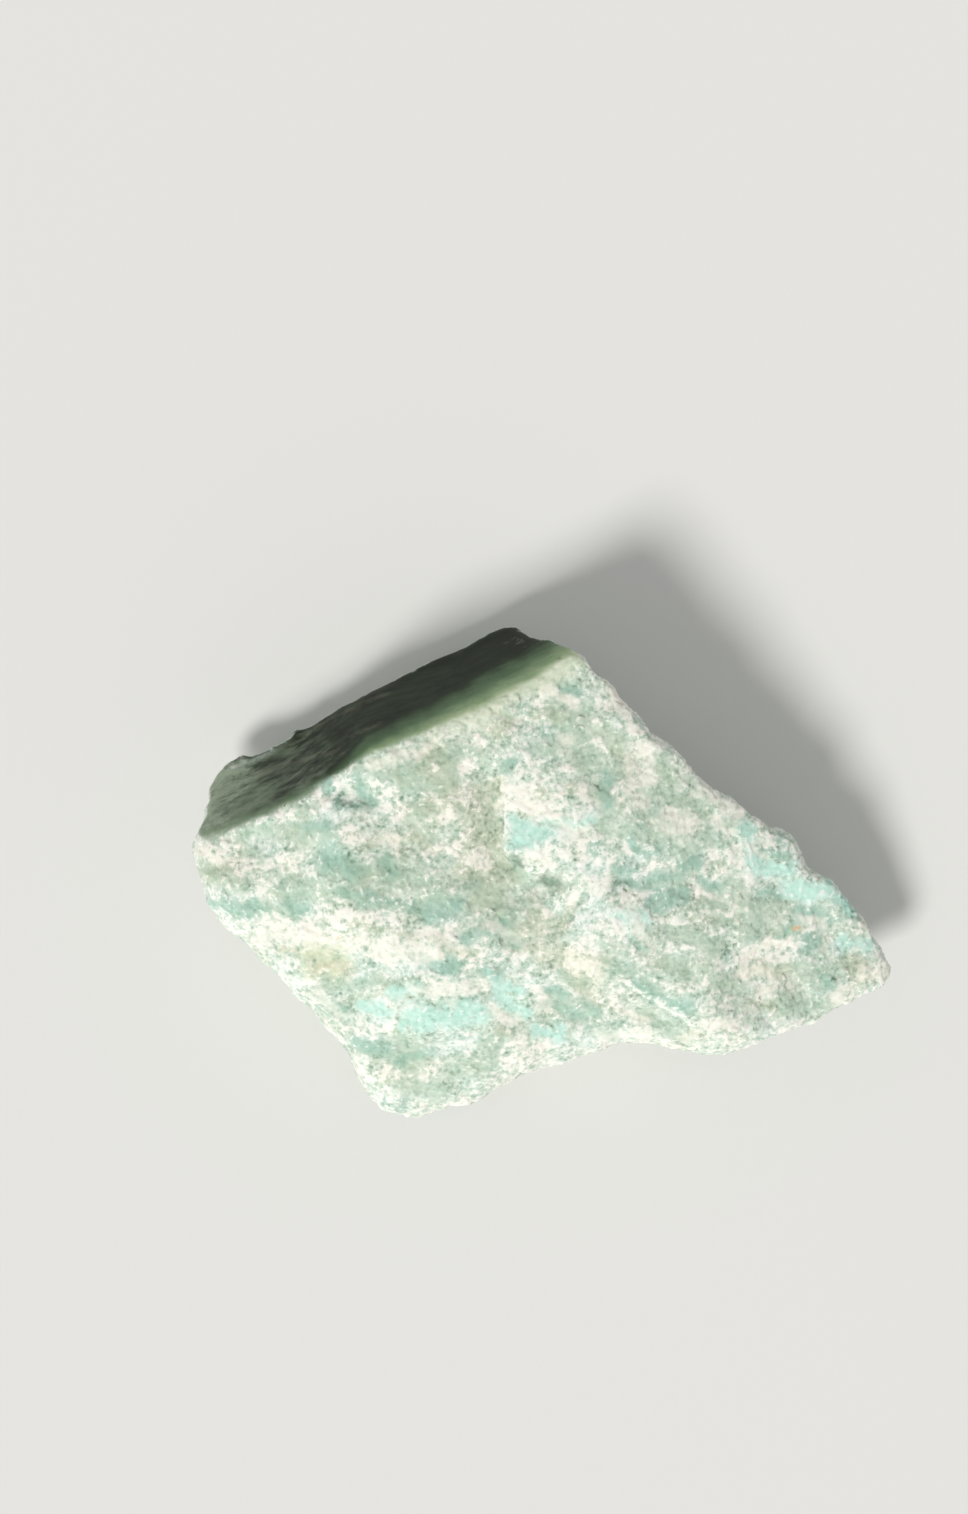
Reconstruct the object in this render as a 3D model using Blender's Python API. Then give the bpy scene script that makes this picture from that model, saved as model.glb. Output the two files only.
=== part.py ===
"""Green aventurine: one rough stone, broken all over but for one smooth side.

Metres, +Z up. The stone lies on a small flat foot, its long side along X. The origin is
the middle of the stone's box, at the height of the foot. Shapes are worked out in
millimetres, and the last step fits them to the three driving dimensions.
"""

import math

import bmesh
import bpy
from mathutils import Vector, noise
from mathutils.bvhtree import BVHTree

# Driving dimensions, in metres
LENGTH = 0.065
WIDTH = 0.046
HEIGHT = 0.0195

# All that follows is in millimetres and degrees, before the stone is fitted to its dimensions

# The edge of the stone seen from above, clockwise from its left end
LEFT_END = [(-32.1, 1.7), (-31.9, 2.7), (-31.5, 3.8), (-30.9, 4.8), (-31.0, 7.1), (-30.7, 8.5), (-29.7, 9.6)]
SMOOTH_SIDE_FOOT = [(-27.9, 10.6), (-24.6, 12.1), (-20.1, 14.4), (-15.6, 16.6), (-13.8, 17.8), (-11.1, 19.2),
                    (-7.6, 20.5), (-5.4, 21.8)]
TOP_CORNER = [(-3.7, 22.6), (-2.3, 22.7), (-0.9, 21.6), (0.3, 21.1), (1.5, 20.5), (3.0, 19.8)]
RIGHT_EDGE = [(4.8, 18.3), (6.2, 16.4), (6.6, 15.5), (8.4, 13.7), (8.8, 12.9), (10.8, 11.5), (11.8, 10.8),
              (13.7, 8.6), (15.1, 7.7), (18.2, 6.3), (21.1, 4.1), (22.6, 3.1), (23.8, 0.8), (24.6, 0.0),
              (26.5, -0.7), (27.6, -1.9), (30.0, -4.8), (31.5, -6.6)]
RIGHT_TIP = [(32.0, -8.0), (32.7, -8.7), (32.3, -9.7), (31.9, -10.3)]
FRONT_EDGE = [(30.3, -11.2), (28.3, -12.4), (26.1, -13.6), (21.1, -15.4), (16.1, -16.5), (14.2, -16.7),
              (12.6, -16.1), (10.6, -15.6), (7.1, -15.7), (4.1, -16.4), (1.8, -17.2), (-2.7, -18.9),
              (-6.3, -20.8), (-8.4, -21.7), (-10.3, -22.6), (-11.9, -23.0), (-12.9, -22.8), (-14.6, -22.1)]
LEFT_EDGE = [(-15.5, -20.8), (-17.0, -18.8), (-18.1, -16.7), (-20.8, -13.1), (-23.8, -9.9), (-25.4, -8.3),
             (-26.5, -6.8), (-28.2, -5.4), (-29.5, -3.9), (-30.6, -2.7), (-31.4, -0.7), (-31.8, 0.7)]
OUTLINE = LEFT_END + SMOOTH_SIDE_FOOT + TOP_CORNER + RIGHT_EDGE + RIGHT_TIP + FRONT_EDGE + LEFT_EDGE
CENTRE = Vector((-2.4, -0.9, 9.0))

# The soft ridge between the smooth side and the broken face, left to right
RIDGE = [(-33.0, 2.0), (-31.0, 2.8), (-27.1, 4.3), (-23.8, 5.6), (-19.5, 8.0), (-15.2, 11.0), (-9.8, 13.0),
         (-6.5, 14.5), (-3.3, 16.2), (-0.7, 17.4), (1.7, 19.0), (4.0, 20.5)]
LEFT_END_SLOPE = 1.7
LEFT_END_SHARE = 0.4
SMOOTH_SIDE_SLOPE = 2.4
RIDGE_SET_BACK = 0.4
RIDGE_ROUNDING = 2.2
LOWEST_EDGE = 5.2

# The broken face as broad planes: a point (x, y, z) and the change in height per mm along x and y
FACE_PLANES = [
    ((-4.0, 8.0, 17.6), (-0.02, 0.04)),
    ((10.0, 4.0, 16.9), (-0.30, 0.16)),
    ((0.0, -4.0, 17.0), (-0.05, 0.44)),
    ((-12.0, -7.0, 16.8), (0.24, 0.40)),
    ((-21.0, 0.0, 16.9), (0.36, 0.02)),
]
PLANE_ROUNDING = 0.9

# How worn the edges are: most at the front left, least at the back right
EDGE_WEAR = 1.1
WEAR_CHANGE = 0.6
LEAST_WORN = Vector((0.6, 0.8))
WEAR_WIDTH = 1.4

# How the sides go in and down from the edge: share of the edge's height, share of the way in
UNDERSIDE = [(0.86, 0.0), (0.62, 0.015), (0.38, 0.05), (0.20, 0.14), (0.08, 0.32), (0.0, 0.56), (-0.06, 0.75)]
BELLY = -0.9

# Flat breaks low on the sides: angle round from +X, and how far down each one faces
SIDE_BREAKS = [(14, 20), (41, 12), (68, 30), (118, 40), (148, 26), (178, 36), (212, 22), (234, 38), (262, 20),
               (291, 34), (318, 24), (343, 40), (100, 64), (200, 62), (300, 65), (20, 66)]
BREAK_CLEARANCE = 0.25

# Shell-shaped scars on the sides: angle round from +X, height, width across, depth
SIDE_SCARS = [(8, 5.0, 9.0, 1.0), (33, 8.0, 11.0, 0.9), (58, 6.0, 12.0, 1.2), (82, 9.0, 8.0, 0.7),
              (205, 5.5, 10.0, 1.0), (228, 4.5, 9.0, 1.1), (252, 6.0, 8.0, 0.8), (276, 4.5, 11.0, 1.2),
              (303, 5.5, 9.0, 0.9), (330, 4.0, 12.0, 1.0), (168, 3.5, 9.0, 0.8), (130, 2.8, 12.0, 0.7)]

# Shell-shaped scars on the broken face: middle (x, y), width across, depth
FACE_SCARS = [((-5.7, -2.6), 16.0, 0.55), ((-13.2, 2.0), 12.0, 0.25), ((12.2, -1.4), 12.0, 0.2),
              ((21.0, -10.6), 13.0, 0.25), ((5.2, 9.4), 9.0, 0.2), ((-12.0, -16.2), 10.0, 0.25),
              ((2.6, -11.4), 7.5, 0.35), ((-24.5, 0.6), 9.0, 0.2)]

# Lumps and pits of the broken face: middle (x, y), half length, half width, angle, height
LUMPS = [((3.0, 5.0), 10.0, 8.5, -15, 0.8), ((6.4, -4.8), 6.4, 5.0, -40, 0.5), ((14.6, -12.6), 5.2, 2.0, -38, 0.4),
         ((-10.4, -11.6), 8.0, 4.0, 8, 0.5), ((24.2, 0.2), 5.4, 2.8, -35, 0.5), ((-4.6, -15.6), 5.4, 2.8, 14, 0.45)]
PITS = [((0.4, -0.9), 2.2, 1.3, 12, -1.0), ((7.1, -0.9), 1.5, 1.1, -50, -0.5), ((-16.6, 7.0), 2.6, 1.2, 5, -0.5),
        ((1.0, -11.0), 1.6, 1.2, 30, -0.6), ((3.2, -12.8), 1.8, 1.2, -30, -0.6)]

# Ledges of the broken face: a line with the low ground on its left, drop, and how far the drop fades over
LEDGES = [
    # the scalloped foot of the big lump
    ([(5.2, -0.8), (2.0, 0.1), (0.5, 0.5), (-1.7, 0.2), (-3.2, 1.6), (-3.8, 3.3), (-3.4, 5.2), (-3.3, 6.2),
      (-3.6, 7.4), (-2.8, 9.1)], 0.9, 5.5),
    # the edge of the pale shoulder under it
    ([(-5.0, -7.2), (0.4, -6.4), (1.7, -5.3), (2.8, -4.4), (3.3, -3.1), (5.2, -1.9)], 0.5, 5.0),
    # the small ledge near the ridge
    ([(-21.4, 5.6), (-19.3, 6.3), (-17.9, 6.1), (-16.5, 6.4), (-15.8, 5.9), (-14.4, 6.4)], 0.7, 2.6),
    # the top of the pale band on the left
    ([(-28.0, -4.2), (-24.4, -4.4), (-20.6, -2.8), (-17.6, -3.4), (-14.6, -4.1), (-9.6, -5.2)], 0.25, 3.0),
    # the groove that runs out at the notch in the front edge
    ([(17.4, -16.4), (13.4, -14.4), (11.4, -13.0), (9.6, -12.1), (8.1, -11.2), (6.9, -10.0)], 0.7, 2.6),
    # the arc over the olive hollow on the right
    ([(23.4, -7.3), (21.9, -6.2), (20.6, -6.0), (18.9, -6.6), (17.5, -7.6)], 0.45, 5.5),
    # two grooves that run with the ridge at the left end
    ([(-30.2, -0.6), (-28.0, 0.8), (-25.8, 1.7), (-23.6, 2.8)], 0.5, 2.0),
    ([(-23.8, -1.4), (-22.4, -0.3), (-20.4, 1.0)], 0.4, 1.8),
]
LEDGE_EDGE = 0.6
LEDGE_TAPER = 0.17

# The least upward part of its normal for a facet to count as part of the broken face
UPWARD = 0.3

# Soft swells all over: width of one, and height
SWELL_WIDTH = 5.5
SWELL_HEIGHT = 0.55
SWELL_OCTAVES = 4

# Uneven flat breaks with steps between them: width of one, and how far it tilts for its width
BREAKS = [(6.0, 0.24), (2.2, 0.18)]
TILT_SEED = 3.7
NOISE_SEED = 4
WARP = 0.35

# How strong the breaks are on the broken face and underneath, and the swells on the smooth side
FACE_BREAKS = 0.3
UNDER_BREAKS = 1.0
SMOOTH_SIDE_SHARE = 0.12
CALM_BY_RIDGE = 1.8
CALM_BY_FOOT = 1.6

# How finely it is made: points along the edge, rings over the top, first facets, and facets at the end
EDGE_STEP = 0.8
RINGS = 40
VOXEL = 0.55
TRIANGLES = 9200


def resample(points, step):
    """Points a step apart along the closed line through the given ones."""
    line = []
    for a, b in zip(points, points[1:] + points[:1]):
        a, b = Vector(a), Vector(b)
        count = max(1, round((b - a).length / step))
        line += [a.lerp(b, i / count) for i in range(count)]
    return line


def nearest_on(line, spot):
    """How far a spot is from an open line, positive on its left, and the share of the way along it."""
    best = (1e9, 0.0)
    for i, (a, b) in enumerate(zip(line, line[1:])):
        along = Vector(b) - Vector(a)
        away = spot - Vector(a)
        share = min(1.0, max(0.0, away.dot(along) / along.length_squared))
        gap = (away - along * share).length
        if gap < abs(best[0]):
            side = along.x * away.y - along.y * away.x
            best = (math.copysign(gap, side), (i + share) / (len(line) - 1))
    return best


def near_box(line, spot, reach):
    """Whether a spot is within reach of the box around a line."""
    return all(min(p[i] for p in line) - reach < spot[i] < max(p[i] for p in line) + reach for i in (0, 1))


def soft_min(a, b, blend):
    """The lower of two heights, rounded off where they meet."""
    overlap = max(blend - abs(a - b), 0.0) / blend
    return min(a, b) - overlap * overlap * blend / 4


def rise(value):
    """From 0 to 1 in a soft S, and level outside that."""
    value = min(1.0, max(0.0, value))
    return value * value * (3 - 2 * value)


def beyond_ridge(spot):
    """How far out on the smooth side a spot is, negative on the broken face, and how steep the side is there."""
    out, share = nearest_on(RIDGE, spot)
    slope = LEFT_END_SLOPE + (SMOOTH_SIDE_SLOPE - LEFT_END_SLOPE) * rise(share / LEFT_END_SHARE)
    return out - RIDGE_SET_BACK, slope


def top_height(spot, from_edge, outward):
    """The height of all that is seen from above, with its worn edges and without its ledges."""
    face = math.inf
    for (x, y, z), (along_x, along_y) in FACE_PLANES:
        plane = z + along_x * (spot.x - x) + along_y * (spot.y - y)
        face = soft_min(face, plane, PLANE_ROUNDING) if face < math.inf else plane
    beyond, slope = beyond_ridge(spot)
    height = soft_min(face, face - slope * beyond, RIDGE_ROUNDING)
    if beyond < RIDGE_SET_BACK:
        wear = EDGE_WEAR - WEAR_CHANGE * outward.dot(LEAST_WORN)
        worn = max(0.0, 1.0 - from_edge / (WEAR_WIDTH * wear))
        height -= wear * worn * worn
    return max(height, LOWEST_EDGE)


def block():
    """The stone's broad form: rings from the top out to the edge, then down and in to the belly."""
    centre = CENTRE.xy
    edge = resample(OUTLINE, EDGE_STEP)
    rings = []
    for k in range(1, RINGS + 1):
        ring = []
        for rim in edge:
            spot = centre.lerp(rim, k / RINGS)
            height = top_height(spot, (rim - spot).length, (rim - centre).normalized())
            ring.append(Vector((spot.x, spot.y, height)))
        rings.append(ring)
    rim = rings[-1]
    for height_share, way_in in UNDERSIDE:
        ring = []
        for point in rim:
            spot = point.xy.lerp(centre, way_in)
            ring.append(Vector((spot.x, spot.y, point.z * height_share)))
        rings.append(ring)

    bm = bmesh.new()
    top = bm.verts.new((*centre, rings[0][0].z))
    belly = bm.verts.new((*centre, BELLY))
    loops = [[bm.verts.new(point) for point in ring] for ring in rings]
    for i in range(len(edge)):
        j = (i + 1) % len(edge)
        bm.faces.new((top, loops[0][i], loops[0][j]))
        bm.faces.new((belly, loops[-1][j], loops[-1][i]))
        for upper, lower in zip(loops, loops[1:]):
            bm.faces.new((upper[i], lower[i], lower[j], upper[j]))
    bmesh.ops.recalc_face_normals(bm, faces=bm.faces)
    return bm, rim


def cut(bm, point, normal):
    """Take off what lies beyond a plane, and close the stone with a flat face."""
    parts = bm.verts[:] + bm.edges[:] + bm.faces[:]
    bmesh.ops.bisect_plane(bm, geom=parts, dist=1e-5, plane_co=point, plane_no=normal, clear_outer=True)
    bmesh.ops.holes_fill(bm, edges=[edge for edge in bm.edges if edge.is_boundary], sides=0)


def break_sides(bm, rim):
    """Flat breaks that pass just under the edge, so that they leave the outline whole."""
    for angle, down in SIDE_BREAKS:
        turn, dip = math.radians(angle), math.radians(down)
        normal = Vector((math.cos(turn) * math.cos(dip), math.sin(turn) * math.cos(dip), -math.sin(dip)))
        reach = max(normal.dot(point) for point in rim) + BREAK_CLEARANCE
        cut(bm, normal * reach, normal)


def apply_modifiers(stone):
    """Turn the modifiers on the stone into its mesh."""
    graph = bpy.context.evaluated_depsgraph_get()
    mesh = bpy.data.meshes.new_from_object(stone.evaluated_get(graph))
    old = stone.data
    stone.modifiers.clear()
    stone.data = mesh
    bpy.data.meshes.remove(old)
    mesh.name = stone.name


def even_out(stone):
    """Small even facets all over, for the scars and ledges to be worked in."""
    voxels = stone.modifiers.new("even facets", "REMESH")
    voxels.mode = "VOXEL"
    voxels.voxel_size = VOXEL
    relax = stone.modifiers.new("relax", "SMOOTH")
    relax.factor = 0.5
    relax.iterations = 2
    apply_modifiers(stone)


def scar(vertices, hit, outward, width, depth):
    """Press a shallow bowl into the surface, the part of a ball that reaches in by its depth."""
    radius = (width * width / 4 + depth * depth) / (2 * depth)
    ball = hit + outward * (radius - depth)
    for vertex in vertices:
        away = vertex.co - ball
        if away.length < radius and away.dot(outward) < 0:
            vertex.co = ball + away.normalized() * radius


def scar_all(mesh):
    """The shell-shaped scars: those of the face are pressed from above, those of the sides from outside."""
    tree = BVHTree.FromPolygons([v.co for v in mesh.vertices], [p.vertices for p in mesh.polygons])
    for (x, y), width, depth in FACE_SCARS:
        hit, normal = tree.ray_cast(Vector((x, y, 40)), Vector((0, 0, -1)))[:2]
        scar(mesh.vertices, hit, normal, width, depth)
    for angle, height, width, depth in SIDE_SCARS:
        turn = math.radians(angle)
        outward = Vector((math.cos(turn), math.sin(turn), 0))
        start = Vector((CENTRE.x, CENTRE.y, height))
        hit, normal = tree.ray_cast(start, outward)[:2]
        scar(mesh.vertices, hit, normal, width, depth)


def swell(spot, middle, half_length, half_width, angle):
    """How far into a lump or pit a spot is, from 0 at its edge to 1 in its middle."""
    turn = math.radians(angle)
    away = spot - Vector(middle)
    along = (away.x * math.cos(turn) + away.y * math.sin(turn)) / half_length
    across = (away.y * math.cos(turn) - away.x * math.sin(turn)) / half_width
    return max(0.0, 1.0 - along * along - across * across)


def shape_face(mesh):
    """The lumps, pits and ledges of the broken face, which are moves straight up and down."""
    face = [vertex for vertex in mesh.vertices if vertex.normal.z > UPWARD]
    spots = [vertex.co.xy for vertex in face]
    changes = [0.0] * len(face)
    for middle, half_length, half_width, angle, height in LUMPS + PITS:
        for i, spot in enumerate(spots):
            changes[i] += height * rise(swell(spot, middle, half_length, half_width, angle))
    for line, drop, fade in LEDGES:
        for i, spot in enumerate(spots):
            if not near_box(line, spot, fade):
                continue
            below, share = nearest_on(line, spot)
            if 0 < below < fade:
                ends = rise(min(share, 1 - share) / LEDGE_TAPER)
                changes[i] -= drop * ends * rise(below / LEDGE_EDGE) * (1 - below / fade)
    for vertex, change in zip(face, changes):
        vertex.co.z += change


def broken(spot):
    """How far the uneven flat breaks stand out at a spot: each cell is a plane that tilts its own way."""
    out = 0.0
    for width, tilt_share in BREAKS:
        place = spot / width
        place += noise.noise_vector(place) * WARP
        middle = noise.voronoi(place)[1][0]
        out += (place - middle).dot(noise.noise_vector(middle * TILT_SEED)) * width * tilt_share
    return out


def roughen(mesh):
    """Swell and break the surface, hardly on the smooth side and at the foot, most on what faces down."""
    places = []
    for vertex in mesh.vertices:
        spot, normal = vertex.co.copy(), vertex.normal.copy()
        beyond = beyond_ridge(spot.xy)[0]
        downward = min(1.0, max(0.0, UPWARD - normal.z))
        breaks = FACE_BREAKS + (UNDER_BREAKS - FACE_BREAKS) * downward
        share = rise(spot.z / CALM_BY_FOOT)
        if beyond > 0 and normal.y > UPWARD and normal.z > 0:
            share *= SMOOTH_SIDE_SHARE
        elif normal.z > UPWARD:
            share *= SMOOTH_SIDE_SHARE + (1 - SMOOTH_SIDE_SHARE) * rise(-beyond / CALM_BY_RIDGE)
        swells = noise.fractal(spot / SWELL_WIDTH, 1.0, 2.0, SWELL_OCTAVES) * SWELL_HEIGHT
        places.append(spot + normal * share * (swells + breaks * broken(spot)))
    for vertex, place in zip(mesh.vertices, places):
        vertex.co = place


def thin_out(stone):
    """Fewer, larger facets where the surface is flat."""
    stone.data.calc_loop_triangles()
    fewer = stone.modifiers.new("fewer facets", "DECIMATE")
    fewer.ratio = TRIANGLES / len(stone.data.loop_triangles)
    fewer.use_collapse_triangulate = True
    apply_modifiers(stone)


def stand_on_foot(mesh):
    """Cut the belly off flat, and fit the stone to its three dimensions."""
    bm = bmesh.new()
    bm.from_mesh(mesh)
    cut(bm, Vector(), Vector((0, 0, -1)))
    low = Vector(min(v.co[i] for v in bm.verts) for i in range(3))
    high = Vector(max(v.co[i] for v in bm.verts) for i in range(3))
    middle = Vector(((low.x + high.x) / 2, (low.y + high.y) / 2, low.z))
    size = (LENGTH, WIDTH, HEIGHT)
    for vertex in bm.verts:
        away = vertex.co - middle
        vertex.co = [away[i] * size[i] / (high[i] - low[i]) for i in range(3)]
    bm.to_mesh(mesh)
    bm.free()


def aventurine():
    """Pale green, a little glossy where it is smooth."""
    material = bpy.data.materials.new("aventurine")
    material.use_nodes = True
    shader = material.node_tree.nodes["Principled BSDF"]
    shader.inputs["Base Color"].default_value = (0.55, 0.68, 0.54, 1.0)
    shader.inputs["Roughness"].default_value = 0.55
    return material


def main():
    for thing in list(bpy.data.objects):
        bpy.data.objects.remove(thing, do_unlink=True)

    noise.seed_set(NOISE_SEED)
    bm, rim = block()
    break_sides(bm, rim)
    mesh = bpy.data.meshes.new("aventurine_stone")
    bm.to_mesh(mesh)
    bm.free()
    stone = bpy.data.objects.new("aventurine_stone", mesh)
    bpy.context.scene.collection.objects.link(stone)
    even_out(stone)
    scar_all(stone.data)
    shape_face(stone.data)
    stone.data.update()
    roughen(stone.data)
    thin_out(stone)
    stand_on_foot(stone.data)
    stone.data.materials.append(aventurine())


main()
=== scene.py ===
import math

import bpy
import numpy as np
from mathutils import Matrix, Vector, noise


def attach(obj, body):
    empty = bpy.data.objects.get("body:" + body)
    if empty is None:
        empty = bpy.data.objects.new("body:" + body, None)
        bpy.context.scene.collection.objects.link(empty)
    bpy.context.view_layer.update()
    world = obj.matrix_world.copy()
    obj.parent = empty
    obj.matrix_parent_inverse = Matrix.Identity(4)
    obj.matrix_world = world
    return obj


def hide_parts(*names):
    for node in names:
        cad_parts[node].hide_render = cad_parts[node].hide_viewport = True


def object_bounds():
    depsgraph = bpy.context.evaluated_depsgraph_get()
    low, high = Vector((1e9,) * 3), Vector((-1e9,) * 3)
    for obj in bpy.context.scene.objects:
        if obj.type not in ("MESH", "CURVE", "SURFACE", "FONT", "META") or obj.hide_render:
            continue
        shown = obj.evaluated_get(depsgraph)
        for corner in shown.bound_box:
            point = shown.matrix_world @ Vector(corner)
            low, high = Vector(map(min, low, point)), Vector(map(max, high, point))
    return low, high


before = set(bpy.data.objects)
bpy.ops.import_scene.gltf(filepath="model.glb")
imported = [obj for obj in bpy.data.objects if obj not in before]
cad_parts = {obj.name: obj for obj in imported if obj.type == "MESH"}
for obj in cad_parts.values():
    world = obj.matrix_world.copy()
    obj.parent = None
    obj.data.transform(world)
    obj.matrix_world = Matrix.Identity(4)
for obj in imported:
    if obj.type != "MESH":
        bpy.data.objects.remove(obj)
cad_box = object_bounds()

# Lengths below are in millimetres, and the scene is in metres
MM = 0.001

# The view: straight down, so that a pixel is this wide at the height of the stone's edge
PICTURE_HEIGHT = 1514
MM_PER_PIXEL = 0.0918
EDGE_HEIGHT = 12.0
EYE = (-5.66, 10.71, 280.0)
SENSOR = 36.0

# The light: where it comes from, how soft it is and how strong
KEY_FROM = (-0.35, -0.56, 0.75)
KEY_ANGLE = 16
KEY_STRENGTH = 2.36
KEY_COLOUR = (1.0, 0.985, 0.965)
ROOM_COLOUR = (1.0, 1.0, 1.0)
ROOM_STRENGTH = 0.46
FLOOR_SIZE = 6.0

# How finely the stone is made, and how much it is evened out before its fine breaks are worked in
VOXEL = 0.18
RELAX_STEPS = 7
CALM_STEPS = 36
MOST_TRIANGLES = 196000

# The soft ridge between the smooth side and the broken face, left to right
RIDGE = [(-33.0, 2.0), (-31.0, 2.8), (-27.1, 4.3), (-23.8, 5.6), (-19.5, 7.8), (-17.3, 9.1), (-15.2, 10.9),
         (-9.8, 13.0), (-6.5, 14.5), (-3.3, 16.2), (-0.7, 17.4), (1.7, 19.0), (4.0, 20.5)]

# Uneven flat breaks: width of one, and how far it tilts for its width
BREAKS = [(2.4, 0.09), (1.1, 0.21), (0.5, 0.5)]
TILT_SEED = 5.3
WARP = 0.35

# Where the noise starts, so that the stone comes out the same each time
NOISE_SEED = 4
noise.seed_set(NOISE_SEED)

# The smooth side: its start before the ridge, how far it turns back, and the shares of the ridge it spans
SIDE_START = 0.3
SIDE_BLEND = 0.6
SIDE_FACING = 0.3
SIDE_FIRST = 0.01
SIDE_LAST = 0.985

# Its lower rim: how steep the stone is there, how far the rim frays, and how wide one fray is
RIM_DROP = 0.04
RIM_BLEND = 0.1
FRAY = 0.2
FRAY_WIDTH = 0.9

# What is left of the breaks on the smooth side, beyond the ridge and low down, and how they start at the foot
BREAKS_ON_SIDE = 0.04
BREAKS_BEYOND = 0.7
BREAKS_BELOW = 0.55
FOOT_BLEND = 0.8

# How a crest is told from a hollow: against the stone evened out this often, by this height
CREST_STEPS = 14
CREST_HEIGHT = 0.05

# Crisp small steps of the broken face: a line with the low ground on its left, its drop, how far it fades
STEPS = [
    ([(-2.1, 0.7), (-2.4, 1.4), (-3.6, 2.0), (-4.1, 3.6), (-3.8, 4.1), (-4.0, 5.5), (-3.7, 6.5), (-4.0, 7.8),
      (-4.2, 9.0), (-3.8, 10.3)], 0.4, 3.2),
    ([(0.0, -6.1), (1.4, -5.0), (2.4, -4.0), (2.9, -2.7), (3.5, -2.1), (4.7, -1.5)], 0.25, 1.6),
    ([(16.1, -15.8), (14.1, -14.3), (11.5, -12.6), (9.9, -11.7), (8.5, -10.7), (6.7, -9.7)], 0.3, 1.2),
    ([(22.9, -6.8), (21.9, -6.2), (20.6, -6.0), (18.8, -6.5), (17.7, -7.4)], 0.2, 1.6),
    ([(-23.0, -0.6), (-20.2, 1.5)], 0.15, 0.8),
    ([(-17.4, -14.2), (-13.8, -14.2)], 0.15, 0.8),
    ([(-10.3, -8.1), (-10.3, -5.8)], 0.1, 0.6),
]
STEP_EDGE = 0.25

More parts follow.
